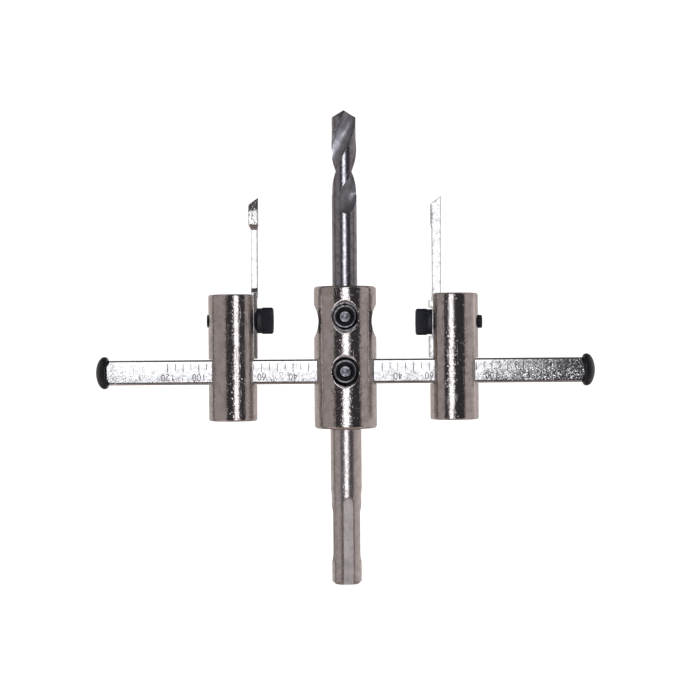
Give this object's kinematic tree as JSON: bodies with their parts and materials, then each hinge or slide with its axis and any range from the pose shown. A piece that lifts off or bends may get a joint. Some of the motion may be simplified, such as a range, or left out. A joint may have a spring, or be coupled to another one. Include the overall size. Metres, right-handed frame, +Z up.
{
  "type": "adjustable circle cutter",
  "caption": "Adjustable circle cutter: blade holders slide on a square scale bar through a hub with a pilot drill and a slotted hammer-drill shank.",
  "frame": {"origin": "under the middle of the whole tool, on the surface that its hub lies on", "axes": "+X along the scale bar, +Y along the hub towards the drill's point, +Z up, towards the hub's two set screws"},
  "size_m": [0.1598, 0.1518, 0.02],
  "materials": {
    "hub_nickel": "nickel plated, satin with fine orange peel",
    "holder_nickel": "nickel plated, satin with fine orange peel",
    "shank_nickel": "nickel plated, matte",
    "bar_nickel": "nickel plated, satin, engraved scale",
    "blade_steel": "ground steel",
    "drill_steel": "ground high speed steel",
    "screw_black": "black oxide, satin",
    "cap_black": "satin black"
  },
  "bodies": {
    "hub_and_bar": {"hub": "hub_nickel", "shank": "shank_nickel", "scale_bar": "bar_nickel", "left_end_cap": "cap_black", "right_end_cap": "cap_black"},
    "drill": {"pilot_drill": "drill_steel"},
    "drill_screw": {"drill_set_screw": "screw_black"},
    "bar_screw": {"bar_set_screw": "screw_black"},
    "left_cutter": {"left_holder": "holder_nickel", "left_blade": "blade_steel"},
    "right_cutter": {"right_holder": "holder_nickel", "right_blade": "blade_steel"},
    "left_clamp": {"left_clamp_screw": "screw_black"},
    "right_clamp": {"right_clamp_screw": "screw_black"},
    "left_lock": {"left_lock_screw": "screw_black"},
    "right_lock": {"right_lock_screw": "screw_black"}
  },
  "joints": [
    {"name": "left_cutter_slide", "type": "slide", "parent": "hub_and_bar", "child": "left_cutter", "axis": [1, 0, 0], "range_m": [-0.0319, 0.0163]},
    {"name": "right_cutter_slide", "type": "slide", "parent": "hub_and_bar", "child": "right_cutter", "axis": [1, 0, 0], "range_m": [-0.0157, 0.0331]},
    {"name": "drill_slide", "type": "slide", "parent": "hub_and_bar", "child": "drill", "axis": [0, 1, 0], "range_m": [0, 0.008]},
    {"name": "drill_screw_turn", "type": "hinge", "parent": "hub_and_bar", "child": "drill_screw", "pos_m": [0, 0.00958, 0.01605], "axis": [0, 0, 1], "range_deg": [0, 360]},
    {"name": "bar_screw_turn", "type": "hinge", "parent": "hub_and_bar", "child": "bar_screw", "pos_m": [0, -0.00783, 0.0166], "axis": [0, 0, 1], "range_deg": [0, 360]},
    {"name": "left_clamp_turn", "type": "hinge", "parent": "left_cutter", "child": "left_clamp", "pos_m": [-0.03605, 0.00857, 0.01], "axis": [1, 0, 0], "range_deg": [0, 360]},
    {"name": "right_clamp_turn", "type": "hinge", "parent": "right_cutter", "child": "right_clamp", "pos_m": [0.03485, 0.00783, 0.01], "axis": [-1, 0, 0], "range_deg": [0, 360]},
    {"name": "left_lock_turn", "type": "hinge", "parent": "left_cutter", "child": "left_lock", "pos_m": [-0.03605, -0.0168, 0.01], "axis": [0, -1, 0], "range_deg": [0, 360]},
    {"name": "right_lock_turn", "type": "hinge", "parent": "right_cutter", "child": "right_lock", "pos_m": [0.03485, -0.0168, 0.01], "axis": [0, -1, 0], "range_deg": [0, 360]}
  ]
}
